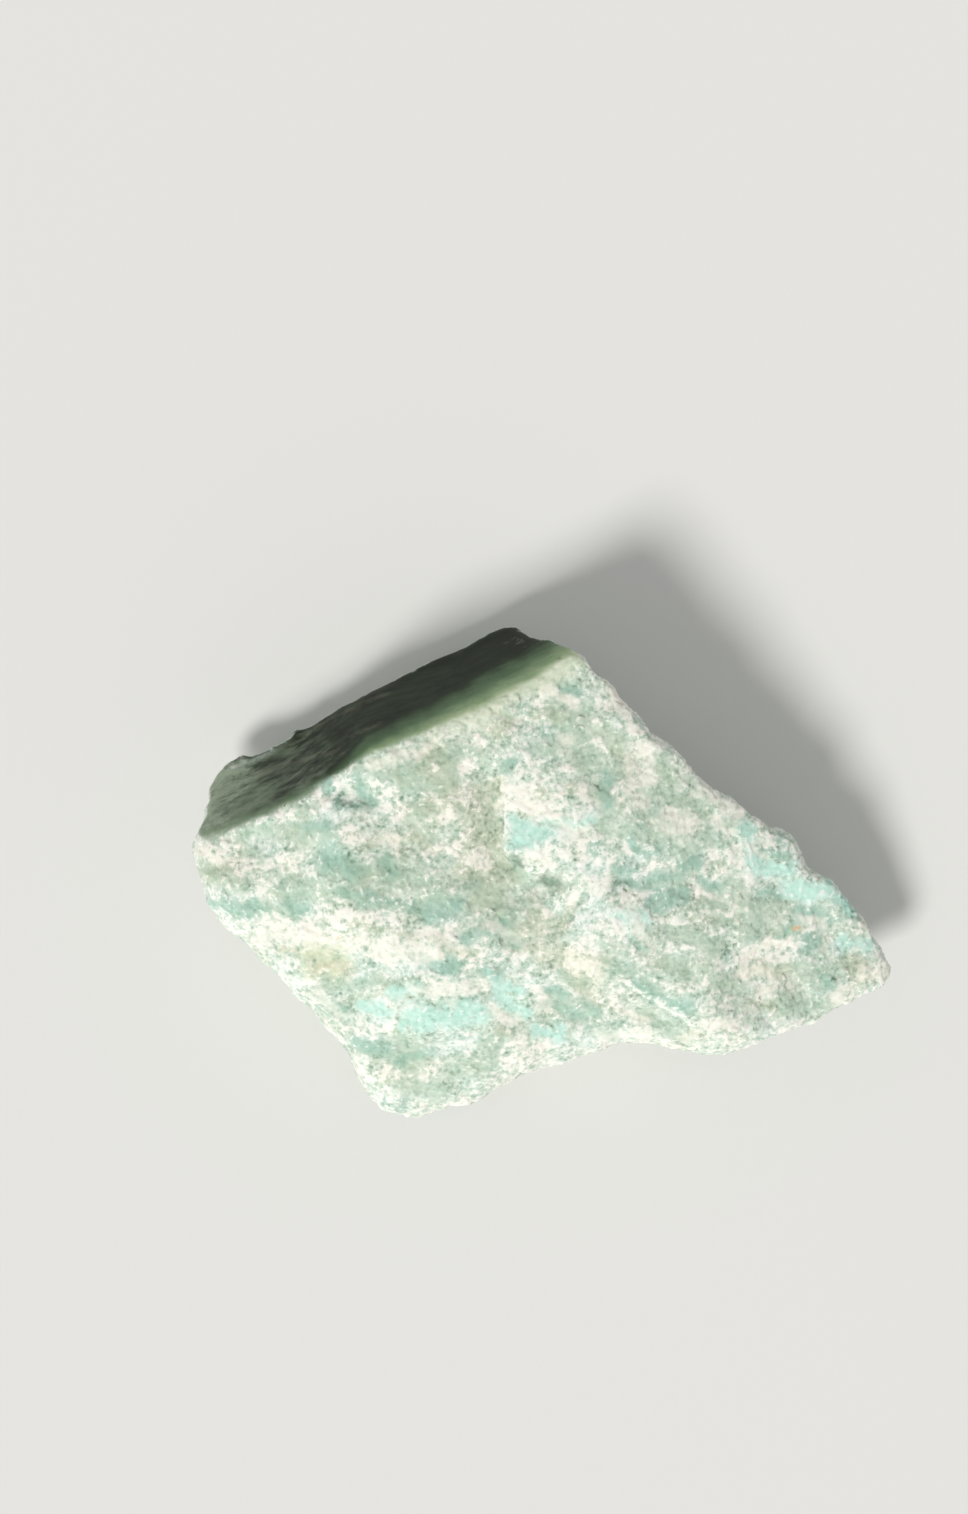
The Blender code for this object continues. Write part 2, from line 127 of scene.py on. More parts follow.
# Marks on the broken face, each a stroke through its points (x, y) with a half width last
WHITE_MARKS = [
    (2.5, 3.4, 5, 3, 0.5), (12.6, -0.9, 14, -1.8, 0.5), (-29, 1.1, -27.3, 0.4, 0.5),
    (6.6, -0.9, 8, -2.3, 0.5), (1.7, 4, 4.2, 3.1, 0.5),
    (18.2, -8.6, 19.5, -7.9, 21.1, -7.6, 22.7, -7.4, 0.5), (23.2, -5.4, 24.5, -5.8, 0.4),
    (-7.1, 7.2, -6, 6.5, 0.4), (-6.2, 4.2, -5.3, 3.4, 0.4), (7.3, -2.1, 8.8, -1.8, 0.5),
    (5.8, -1.2, 8.8, -2, 0.5), (14.3, 0.8, 15.7, 1.2, 0.5), (17.6, -7.8, 19.2, -6.9, 20.9, -6.6, 0.5),
    (0.1, 2.4, 5.3, 1.9, 0.6), (-25.7, -0.7, -23, 0.3, -20.6, 1.4, 0.2), (-23.1, -0.6, -20.2, 1.2, 0.2),
    (-26.2, 0.2, -22.2, 1.7, 0.2), (-32, 1.9, -27.4, 3, 0.2), (-29.5, 1.5, -27.3, 2.3, 0.2),
    (-29.5, 3.5, -28.5, 3.2, 0.4), (-27.8, 1.8, -27, 1.2, 0.5), (-25.2, 1.2, -22.6, 1.2, 0.5),
    (-23, -0.6, -20.2, 1.5, 0.3), (-25.7, -0.9, -25.2, -1.8, 0.5), (-24.5, 5.5, -22.7, 5.8, 0.4),
    (-21.1, 7.3, -19, 7.1, 0.4), (-18.9, 8.1, -17.7, 7.7, 0.4), (-14.6, 7.6, -13.4, 6.9, 0.5),
    (-14.3, 5.8, -13, 5.8, 0.5), (-17.7, 4.2, -16.8, 3.8, 0.7), (-10, 7.1, -9.3, 6.6, 0.4),
    (-10.5, 2.4, -9.6, 2.6, 0.6), (-21.3, -2.9, -20, -2.9, 0.7), (-19.5, -2, -17.7, -2.6, 0.5),
    (-18.1, -3.5, -13.2, -3.7, 0.7), (-27.8, -4.3, -21.4, -4.5, 0.6), (-13.2, -5, -9.2, -4.8, 0.5),
    (-22, -9.8, -20.8, -9.8, 0.4), (-19.3, -13.1, -17.4, -14, -15.6, -14.2, -13.8, -14.2, 0.3),
    (-15.2, -19, -13.8, -18.1, 0.5), (-17.1, -18.2, -16, -18.9, 0.5), (-11.6, -18.8, -10.6, -18.5, 0.4),
    (-3.7, -16.9, -0.1, -16, 0.9), (-0.6, -3.3, 0.5, -2.9, 0.3), (-7.6, -7.4, -6, -7.1, 0.4),
    (-7.4, -8.7, -6.5, -8.3, 0.4), (2.6, -7.8, 4.1, -8.5, 0.5),
    (6.7, -9.5, 8.5, -10.8, 10.4, -11.7, 12.4, -12.8, 0.3), (3.9, -4.4, 6.1, -4.4, 0.6),
    (-6.9, 14.9, -4.2, 15.1, 0.5), (-0.2, 16.7, 1.1, 16.7, 0.5), (-1.1, 15.7, 2.9, 16, 0.3),
    (4.9, 14.7, 5.8, 15.3, 0.4), (-3.8, 13.6, -2.6, 12.7, 0.4), (-2.3, 14, -1.1, 14.2, 0.4),
    (4.2, 11.8, 5.1, 11.2, 0.3), (7.4, 13.8, 8.3, 12.7, 0.4), (-2.4, 9.7, -1.3, 10, 0.6),
    (1.1, 9.7, 1.8, 9.9, 0.4), (-2.6, 7.8, 1.1, 6.9, 0.6), (-3.3, 6.1, 0.7, 6.2, 0.7),
    (2, 3.7, 3.8, 3.5, 0.6), (-1.1, 2.4, -0.2, 1, 0.8), (5.4, 1.9, 5.3, 0.6, 4.7, -0.8, 0.2),
    (-8.3, 2.4, -5.8, 1.9, 0.8), (-9.6, 5.1, -8.3, 5.1, 0.5), (-7.6, 4.3, -6.9, 3.3, 0.5),
    (-7.5, 7.3, -6.7, 7.3, 0.5), (-1.7, -1.7, 0.3, -1.5, 0.3), (1.4, -1.3, 2.4, -1.8, 0.5),
    (2.5, -1.4, 4.7, -0.1, 0.5), (6.2, 6.6, 6.5, 7.2, 7, 7.3, 7.4, 6.7, 7.1, 6.1, 6.6, 6, 6.2, 6.6, 0.2),
    (8.3, 3.1, 9.2, 2.5, 0.3), (6.5, 2.8, 7.4, 2.2, 0.3), (7.6, 0.3, 9.3, 0.9, 11.3, 0.9, 0.5),
    (10.2, -3.5, 12.1, -4.5, 0.4), (-10.7, 9.4, -9.8, 9.7, 0.4), (-8.2, 9.9, -7.1, 10.3, 0.4),
    (19.1, 3.2, 20.8, 3.5, 0.5), (15.2, 2.1, 19, 2.1, 0.5), (25.6, -1.7, 26.9, -2.1, 0.3),
    (26.4, -3.6, 27.3, -3.8, 0.3), (17.9, -7.4, 19.1, -6.7, 20.7, -6.1, 22.2, -6.4, 0.5),
    (14.3, -9.6, 15.9, -11.5, 0.3), (16.5, -3.7, 17.5, -3.4, 0.5), (13.9, -1.7, 15, -1.9, 0.3),
    (15.6, -7.8, 16.4, -8, 0.4), (19.7, -11.6, 20.3, -11.6, 0.2), (-12.8, -2.7, -12.3, -2.4, 0.3),
    (-15.7, -0.3, -15.4, -0.9, 0.3), (-12.3, 4.9, -11.2, 4.3, 0.4), (3, -6.7, 4.4, -6.3, 0.5),
    (9.2, -16.2, 14.2, -16, 0.3),
]
CREAM_MARKS = [
    (0.9, 4.6, 3.4, 4.2, 0.5), (7, -2.6, 8.2, -5.2, 0.6), (18.2, -8.9, 21, -9.4, 0.6),
    (-9.2, -5.6, -7.9, -6.5, 0.5), (-20.7, -11.1, -18.6, -12.9, 0.5), (-3.8, 7.8, 0.2, 5.8, 0.8),
    (-2.1, 1.8, 0.4, 1, 0.5), (-15.9, 10.2, -12.8, 11, -9.6, 11.5, 0.5), (-4.8, -4.5, -3.3, -5.4, 0.5),
    (2.3, -7.4, 4.8, -8.9, 0.5), (7.5, -12.6, 8.8, -13.2, 0.5), (-2.6, -15.1, -2, -16.3, 0.5),
    (16.4, 6.3, 18, 5, 0.5), (10.9, 4.5, 12.2, 3.6, 0.5), (2.9, 7.8, 4, 6.9, 0.5),
    (0.4, 16.7, 2.2, 15.6, 0.5), (12.7, -14.9, 13.9, -14.7, 0.5), (7.3, 10, 8.1, 6.9, 0.5),
    (-12.3, -10.3, -8.7, -11.3, 0.5), (-1, -10, -0.1, -12.4, 0.5), (1.1, 12.1, 2, 12.4, 0.5),
    # The two strokes on the next line, along the tip and the bottom-right edge, are painted light on edges
    # that lie in shade
    (32.3, -13.4, 32.6, -14.9, 31.3, -16.4, 27.8, -18.6, 0.5), (20.8, -21, 24.7, -19.9, 27.8, -18.6, 0.4),
    (5.8, 16.7, 8.3, 13.1, 0.4), (15.3, 4.8, 19.4, 1.7, 0.4),
    (-26.5, -5.8, -22.3, -5.5, -17.8, -6.3, -13.2, -6.5, -10.5, -6.5, 0.8), (-31.1, 2.2, -30.1, 1.2, 0.5),
    (-14.5, 3.4, -13.4, 2.8, 0.5), (-10.5, -9.9, -6.5, -10.4, 0.7), (-4.9, -12.5, -2.8, -13.1, 0.6),
    (-10.7, -4.8, -10, -6.7, 0.5), (5, -14.5, 9.6, -14.7, 0.6), (4.5, -1, 5.5, -0.6, 0.5),
    (8.8, 11.8, 9.2, 9.1, 0.8), (10.6, 5.5, 12.9, 4.6, 0.8), (13.8, 7.7, 17.1, 6.3, 0.5),
    (23.6, -4.4, 25.3, -4.5, 0.6), (20.2, -10.9, 21.1, -10.3, 0.3), (29.4, -9.5, 31.9, -9.1, 0.6),
    (26.6, -11.6, 28.3, -10.9, 0.5), (14.1, -13.5, 16.9, -13.8, 0.5), (-16, -7.2, -11, -7.3, 0.5),
    (17.9, -7.4, 19.1, -6.7, 20.7, -6.1, 22.2, -6.4, 0.5),
]
MINT_MARKS = [
    (-25.6, -2.8, -23.4, -2.9, 0.5), (17, -11.8, 19.5, -13.2, 0.7), (-3.4, 4.8, -2.6, 2.6, 0.5),
    (-17.5, 5.8, -15, 3.3, 0.5), (-8.9, -5.7, -7.6, -5.8, 0.5), (-18.2, 8.5, -17.5, 8.8, 0.4),
    (-21.1, 5.8, -19.3, 5.8, 0.7), (-18.1, 5.8, -15, 5.6, 0.6), (-30.1, -1.4, -27.8, -1.2, 0.5),
    (-22.4, -9.4, -20.6, -10.3, 0.6), (-24.5, -9, -23.3, -10.3, 0.5), (-15.1, -8.3, -10.7, -8, 0.6),
    (-17.9, -12.5, -13.3, -12, 0.8), (-17, -13.5, -13.8, -13.2, 0.5), (-2.9, -8.7, -0.6, -10, 0.7),
    (1.3, -15.2, 5, -14.5, 0.7), (3.4, -3.2, 7.9, -4.1, 1.4), (2.1, -5.8, 4.8, -6.7, 0.6),
    (-8.7, 13.3, -6.5, 13.8, 0.7), (-3.8, 7.6, -3.2, 8.3, 0.5), (1.6, 6.2, 4.7, 6, 0.7),
    (-3.5, 2.6, -1.7, 2.4, 0.5), (1.6, 1.5, 4.7, 0.8, 0.7), (7.6, 7.8, 8.5, 6.9, 0.5),
    (8.2, -1.3, 9.1, -2, 0.6), (17.6, 0.9, 19, -0.1, 0.8), (18.3, -14.3, 22.6, -14, 0.5),
    (-13.4, -20, -9.7, -20.5, 0.7), (-10.6, -15.9, -6.9, -15.6, 0.6), (-26.4, 2.7, -25.5, 1.4, 0.7),
    (9.2, 10.4, 9.7, 8.6, 0.4),
]
TURQUOISE_MARKS = [
    (-2.8, 2.9, -0.8, 3.5, 1.1, 4, 0.7), (-3.8, -10, -2.6, -10.4, 0.5), (18.1, 4.5, 19, 3.4, 0.5),
    (17.6, 3.2, 19.3, 0.6, 0.5), (-13.7, -10.7, -11.4, -10.1, 0.5), (-11.9, -12.7, -6.2, -12.4, 1),
    (-12.8, -13.8, -10.6, -13.7, 0.7), (-4.8, -9.6, -3.9, -11.2, 0.6), (-3.8, -11.7, -2.8, -12.3, 0.5),
    (-0.5, -14.4, 1.5, -14.3, 0.6), (-2.8, -12.2, -1.5, -12.9, 0.5), (6.7, -3.8, 8.8, -4, 0.6),
    (-2.4, 4.2, 0.2, 4.4, 0.8), (1.3, 4.9, 3.8, 4.7, 0.4), (20.2, 0.4, 22.3, 0.6, 0.6),
    (22.3, -1, 25.9, -1.7, 0.8), (25.6, -0.8, 28.1, -3, 0.5), (27.7, -6.7, 30.1, -6.7, 0.7),
    (-16.7, -12.1, -14.7, -12.5, 0.5),
]
TEAL_MARKS = [
    (-28.9, -2.6, -26.2, -3, 0.5), (-14.3, -2.5, -11.6, -2.9, 0.5), (5.1, 8.8, 5.4, 6.9, 0.4),
    (21.8, -5.7, 23.3, -4.8, 0.5), (23.7, -3.5, 26.2, -3.7, 0.5), (-20.2, -12.2, -19, -13.3, 0.5),
    (4.5, -14.1, 5.9, -14.5, 0.5), (-31.4, -2.5, -25.8, -3.7, 0.5), (25.1, -4.8, 27.1, -3.9, 0.5),
    (-13.4, -17.1, -10.6, -16.1, 0.5), (-20.2, -11.5, -18.4, -13.3, 0.5), (-19.5, 1.7, -17.7, 0.8, 1.1),
    (-18.1, -1.5, -15.2, -2.1, 0.7), (-21.8, 4.1, -20.2, 4.3, 0.7), (-18.7, 6.6, -16.8, 6.7, 0.3),
    (-17, 8.5, -15.7, 7, 0.5), (-19.9, 8.2, -19.3, 7.6, 0.4), (-23.1, -2.5, -21.3, -3.1, 0.6),
    (-16.6, -2.5, -15, -2.8, 0.5), (-14.1, -2.8, -12.1, -3.2, 0.6), (-11.9, -3.2, -9.3, -3.2, 0.7),
    (-14.5, 1.3, -13.4, 0.7, 0.5), (-10.2, -8, -7.8, -8.1, 0.6), (-19.7, -11.7, -17.9, -11.9, 0.4),
    (-9.6, -11.4, -6.9, -11.3, 0.3), (-17, -15.6, -14.7, -16.3, 0.8), (-10.5, -2.6, -8, -2.9, 0.8),
    (-7.4, -5.3, -4.4, -5, 0.5), (-3.8, -4.4, -2.9, -6.3, 0.5), (-5.8, -9, -4, -8.9, 0.5),
    (0.3, -10.5, 1.4, -11.3, 0.5), (0, -12, 1, -12.4, 0.5), (1.5, -12.3, 3.1, -13.1, 0.5),
    (3.1, -11.8, 4.5, -12.4, 0.5), (8.3, -10, 9.9, -11.3, 0.5), (7.7, -5.5, 8.4, -6.2, 0.5),
    (9.5, -2.4, 10.6, -2.9, 0.6), (11.1, -11.8, 12.6, -12.1, 0.5), (1.3, 17.2, 2.8, 16.7, 0.5),
    (-3.7, 9.5, -3.3, 10.4, 0.4), (3.6, 2.4, 4.9, 1.9, 0.4), (6.1, -0.8, 7.5, -0.7, 0.6),
    (6.1, 0.6, 8, 0.8, 0.5), (7.6, 2.8, 9.8, 2.3, 0.5), (8.8, -0.5, 12.5, -0.4, 0.5),
    (9.5, -1.8, 12.5, -1.8, 0.6), (19.6, 2.3, 22.2, 1.7, 0.5), (19.9, -1.6, 21.2, -1.9, 0.4),
    (23.5, -3.2, 25.3, -3.5, 0.5), (27.3, -2.5, 28.9, -3.6, 0.5), (23.8, -6.6, 25.1, -6.1, 0.5),
    (12.5, 0.7, 13.7, 0.9, 0.5), (14.4, -0.8, 15.8, -1.2, 0.5), (25.8, -9.7, 27.1, -10.7, 0.5),
]
SAGE_MARKS = [
    (10.2, 10.4, 11.2, 9, 0.7), (13.2, 7.2, 14.2, 5.2, 0.7), (-3.2, 0.2, -1.6, -0.8, 0.5),
    (2.6, -0.4, 3.6, -0.8, 0.4), (-21.6, -0.6, -20.6, -1.9, 0.6), (-25.6, -3.2, -23.2, -3.4, 0.6),
    (4.6, 13.4, 6.6, 12.5, 0.5), (-4.5, 15.2, -3.4, 14.4, 0.5), (8.9, -10, 10.3, -11.2, 0.5),
    (14.4, -6.3, 15.3, -7.6, 0.5), (-19.8, 1.2, -18.6, 0.2, 0.5), (-17.6, -10.8, -16.4, -11.6, 0.5),
    (6.1, 5.8, 7, 4.4, 0.5), (-11.6, 5.8, -10.3, 4.5, 0.5), (-20.6, -0.7, -19.5, -2, 0.5),
    (-7.3, 11.2, -5.5, 10.4, 0.5), (23.9, -9.9, 25.2, -10.8, 0.5), (8.5, -10.1, 9.5, -10.9, 0.4),
    (-13.8, -18.3, -12.5, -19.6, 0.5), (-11.2, -19.8, -9.7, -20.6, 0.5), (-26.9, 2.3, -25.7, 1.2, 0.5),
    (12.9, 7.2, 13.8, 5.8, 0.5), (-31.1, 0.2, -27.4, -0.8, 0.6), (-28.4, 3.7, -23, 4, 0.5),
    (-21.8, 3.1, -19.9, 3.6, 0.5), (-20.6, 0.7, -20.2, -1.8, 0.5), (-12.1, 5.1, -10.7, 3.6, 0.5),
    (12.9, 8.3, 14.4, 6.7, 0.5), (-13.9, -19, -10.8, -20, 0.5), (4.5, 8.1, 5.3, 3.8, 0.5),
    (-16.8, 10.4, -11.4, 9.5, 1.1), (1.1, 15.8, 3.8, 10.4, 1.1), (8.3, 6.9, 12.9, 1.4, 1.1),
    (-14.5, 0.4, -10.3, -0.9, 1.3), (-24.5, -0.8, -22.2, -0.2, 0.8), (-22.2, -1.5, -18.4, -1.5, 0.7),
    (-16.6, 0.4, -13.6, -0.7, 0.9), (-12.7, 7.9, -9.6, 8.1, 0.5), (-22.7, 6.4, -21.7, 5.8, 0.4),
    (-20.6, -9.9, -15.4, -9.8, 0.4), (-15.1, -9.7, -13.3, -10.3, 0.3), (-13.5, -14.4, -13, -15.9, 0.5),
    (-12.3, -15.7, -12, -18.6, 0.8), (-8.8, -18, -5.8, -18, 0.5), (-10.6, -19.2, -9.2, -20, 0.5),
    (-5.3, -15.7, -4, -15.1, 0.5), (-4.9, -17.2, -4.6, -16.1, 0.5), (4.8, -8.4, 7.1, -8.8, 0.7),
    (5.2, -6.2, 6.2, -7.1, 0.5), (11, -5.4, 11.9, -5.1, 0.5), (10.3, -8.2, 12.9, -9.2, 0.7),
    (9.1, -12.6, 13.1, -14.9, 0.5), (3.2, 15.4, 4.4, 15.1, 0.5), (3.4, 12.2, 4.3, 11.8, 0.5),
    (5.6, 12, 6.7, 11.5, 0.5), (-0.5, 11.5, 0.8, 11.8, 0.6), (4.7, 9.7, 7, 9.5, 0.6),
    (2.5, 10.4, 4.3, 10, 0.7), (10.5, 10.9, 10.7, 9.1, 0.5), (9.7, 7.8, 12.1, 6.8, 0.7),
    (12.7, 6.4, 14.4, 6.1, 0.7), (6.5, 4, 8.3, 3.7, 0.5), (8.3, 4.6, 9.8, 4, 0.5),
    (16.1, 4.6, 19.4, 3.9, 0.5), (14.6, 3.9, 15.5, 3.3, 0.5), (18.1, -3.2, 22.4, -2.9, 0.8),
    (18.6, -5.1, 22.4, -5.2, 0.8), (22.3, -8.4, 26.3, -9, 0.7), (21.8, -12.4, 26, -12.3, 0.7),
    (14.2, -8.5, 17.4, -10.2, 0.6), (13, -5.4, 15.4, -6.4, 0.6), (14.4, -2.7, 16, -3.2, 0.5),
    (15.8, -4.3, 17.3, -5, 0.4), (16.7, -0.8, 17.6, -1.4, 0.5), (-5.6, -1.3, -3.8, -4, 1),
    (1.7, -9.2, 3.1, -9.7, 0.5), (-10.5, 8.2, -8.7, 8.8, 0.5), (-9.2, 10, -8.3, 11.2, 0.6),
    (12, 2.8, 13.8, 2.3, 0.5),
]
OLIVE_MARKS = [
    (-21.3, -7.3, -18.8, -7.7, 0.7), (-4.7, 8.6, -4.4, 5.8, 0.5), (-13.6, 9.4, -12.9, 8.6, 0.5),
    (-7.4, -0.4, -5.4, -1.8, 0.7), (-24.1, -1.5, -23, -2.4, 0.5), (-17.7, 1.3, -16.6, 0.4, 0.5),
    (-4.4, 14.9, -3.3, 13.5, 0.5), (-6.9, 6.9, -5.8, -2.2, 1.6), (-2.4, -5.4, 3.4, -7.8, 1.4),
    (-10.5, 10.4, -8.2, 6.9, 1.3), (-31.3, 0.1, -28.9, 1.2, 0.4), (-31.4, -0.4, -28.7, 1, 0.5),
    (-12.7, 6.1, -9.6, 6.4, 0.6), (-12.8, 3.1, -9.6, 2.4, 0.7), (-15.9, 3.4, -14.1, 3.1, 0.5),
    (-17.2, -4.4, -15.2, -4.7, 0.3), (-14.6, -4.8, -12.1, -5.4, 0.4), (-4.2, -14.5, -2.9, -14.6, 0.4),
    (-1.9, -14.8, -0.5, -15, 0.3), (-1.7, -2.6, 1, -4.9, 0.9), (2.3, -2.6, 1.6, -4.7, 0.4),
    (-2.9, -6.7, 0.7, -6.5, 0.6), (-10.5, -5.6, -9.1, -6.2, 0.4), (2.6, -10, 4.5, -11.4, 0.5),
    (-0.7, 14.7, 1.1, 14.7, 0.6), (-6, 13.8, -4.2, 12.8, 0.5), (-0.5, 7.5, 1.1, 7.3, 0.2),
    (1.6, 7.8, 3.4, 7.9, 0.2), (-5.3, 7.3, -5.1, 2.3, 0.9), (18.2, -8.8, 21.8, -9.2, 0.7),
    (18, -12, 20.3, -12.2, 0.8), (27.7, -8.5, 29.7, -8.5, 0.4), (-7.8, 0.6, -3.8, 0.4, 0.8),
    (-9.6, -6.7, -6.5, -6.7, 0.4), (-2.7, -13.7, -1.9, -14.2, 0.3), (-17.2, -11.8, -14.6, -11.1, 0.1),
]
YELLOW_MARKS = [
    (-21.8, -8.5, -18.9, -8.8, 0.6), (-21.6, -6.9, -18.2, -7.5, 0.7),
]
TAN_MARKS = [
    (-21.3, -8.4, -17.8, -8.6, 0.5), (-23.9, -7, -22.7, -7.1, 0.4),
]
# Painted shade: dark green strokes in the pits under the lump, where the cavities lie in shade
PIT_SHADE_MARKS = [
    (-3.1, 1.3, -2.4, 0.7, 0.3), (-0.6, -0.4, 1.2, -0.5, 0.5), (0.2, -1.1, 0.5, -0.8, 0.4),
    (0.4, -8.6, 1.2, -7.8, 0.2), (6.2, -0.9, 7.3, -0.7, 0.3), (-11.4, -4.5, -11.1, -4.5, 0.1),
]
RUST_MARKS = [
    (23, -5.3, 23.3, -5.3, 0.3), (-18.6, -5.5, -18.5, -5.7, 0.1),
]
MARKS = {"white": WHITE_MARKS, "cream": CREAM_MARKS, "mint": MINT_MARKS, "turquoise": TURQUOISE_MARKS,
         "teal": TEAL_MARKS, "sage": SAGE_MARKS, "olive": OLIVE_MARKS, "yellow": YELLOW_MARKS,
         "tan": TAN_MARKS, "dark": PIT_SHADE_MARKS, "rust": RUST_MARKS}

# Marks on the smooth side: brownish veins along it, pale haze at its left end, rough spots at its top corner
VEIN_MARKS = [
    (-31, 7.6, -28.2, 8.7, -25.4, 9.7, -22.6, 10.3, -18.8, 11.4, 0.2),
    (-22.9, 12.8, -20.3, 14.1, -17.5, 15.3, -14.7, 16.7, 0.18), (-18.4, 12.3, -15.1, 13.9, 0.15),
]
HAZE_MARKS = [
    (-31.3, 6.4, -29.3, 7.1, 0.4), (-30.9, 6, -30.2, 8.4, 1.2), (-31, 5.2, -30, 5.2, 0.7),
    (-30.4, 7, -29.4, 8, 1), (-30.9, 7.6, -28.8, 9.7, 1.5), (-31.9, 5.3, -30.8, 8.6, 0.6),
]
ROUGH_MARKS = [
    (-3.6, 21.4, -2.6, 21.5, -1.6, 21, 0.3), (-0.5, 20.3, 1.6, 19.6, 0.25),
]
SIDE_MARKS = {"vein": VEIN_MARKS, "haze": HAZE_MARKS, "rough": ROUGH_MARKS}


def shade(red, green, blue):
    """A colour as a screen shows it, 0 to 255, in the linear numbers that Blender takes."""
    parts = [value / 255 for value in (red, green, blue)]
    return [p / 12.92 if p <= 0.04045 else ((p + 0.055) / 1.055) ** 2.4 for p in parts] + [1.0]


def rise(value):
    """From 0 to 1 in a soft S, and level outside that."""
    value = np.clip(value, 0.0, 1.0)
    return value * value * (3 - 2 * value)


def beside(line, spots):
    """How far each spot is from a line, positive on its left, and the share of the way along it."""
    gaps = np.full(len(spots), np.inf)
    shares = np.zeros(len(spots))
    for i, (a, b) in enumerate(zip(line, line[1:])):
        run = np.subtract(b, a)
        away = spots - a
        part = np.clip(away @ run / (run @ run), 0, 1)
        gap = np.linalg.norm(away - part[:, None] * run, axis=1)
        side = np.copysign(gap, run[0] * away[:, 1] - run[1] * away[:, 0])
        closer = gap < np.abs(gaps)
        gaps = np.where(closer, side, gaps)
        shares = np.where(closer, (i + part) / (len(line) - 1), shares)
    return gaps, shares


def waver(spots, width, height):
    """Spots moved about by soft noise, so that a mark laid on them gets an uneven edge."""
    moves = [noise.noise_vector((x / width, y / width, 0.0)) for x, y in spots.tolist()]
    return spots + np.array(moves)[:, :2] * height


def mark_strength(marks, spots):
    """How strongly each spot is marked, 1 in the middle of a mark and 0 past its edge."""
    strength = np.zeros(len(spots))
    for *line, half_width in marks:
        line = np.reshape(line, (-1, 2))
        reach = half_width * 2.3
        near = np.flatnonzero(((spots > line.min(0) - reach) & (spots < line.max(0) + reach)).all(1))
        gaps, _ = beside(line, spots[near])
        strength[near] = np.maximum(strength[near], 1 - rise(np.abs(gaps) / reach))
    return strength


def apply_modifiers(piece):
    """Turn the modifiers on a piece into its mesh."""
    graph = bpy.context.evaluated_depsgraph_get()
    mesh = bpy.data.meshes.new_from_object(piece.evaluated_get(graph))
    piece.modifiers.clear()
    piece.data = mesh


def breaks(points, width):
    """How far small flat breaks stand out: each cell is a plane that tilts its own way."""
    out = []
    for spot in (points / width).tolist():
        place = Vector(spot) + noise.noise_vector(spot) * WARP
        middle = noise.voronoi(place)[1][0]
        out.append((place - middle).dot(noise.noise_vector(middle * TILT_SEED)) * width)
    return np.array(out)


def keep(mesh, name, values):
    """Store one number for each point of a mesh, for the material to read."""
    attribute = mesh.attributes.new(name, "FLOAT", "POINT")
    attribute.data.foreach_set("value", np.asarray(values, np.float32))


def read(items, name, width, kind=float):
    """One row of numbers for each item of a mesh."""
    values = np.empty(len(items) * width, kind)
    items.foreach_get(name, values)
    return values.reshape(-1, width)


def evened(points, ends, shares, steps):
    """Points after a number of moves towards the middle of their neighbours, each by its own share."""
    a, b = ends.T
    count = len(points)
    meeting = np.bincount(a, minlength=count) + np.bincount(b, minlength=count)
    for _ in range(steps):
        sums = [np.bincount(a, column[b], count) + np.bincount(b, column[a], count) for column in points.T]
        points = points + (np.stack(sums, 1) / meeting[:, None] - points) * shares
    return points


def stepped(spots):
    """How far the crisp small steps lower each spot."""
    drops = np.zeros(len(spots))
    for line, drop, fade in STEPS:
        below, share = beside(line, spots)
        ends = rise(np.minimum(share, 1 - share) / 0.2)
        drops += drop * ends * rise(below / STEP_EDGE) * np.clip(1 - below / fade, 0, 1)
    return drops


def smooth_side(points, normals, beyond, along):
    """How far each point is on the smooth side, 1 on it and 0 on the broken stone around it."""
    fray = np.array([noise.noise(spot) for spot in (points / FRAY_WIDTH).tolist()])
    smooth = rise((beyond + SIDE_START) / SIDE_BLEND)
    smooth *= rise((normals[:, 1] - SIDE_FACING) / SIDE_FACING)
    smooth *= rise((normals[:, 2] + RIM_DROP + fray * FRAY) / RIM_BLEND)
    return smooth * rise(along / SIDE_FIRST) * (1 - rise((along - SIDE_LAST) / (1 - SIDE_LAST)))


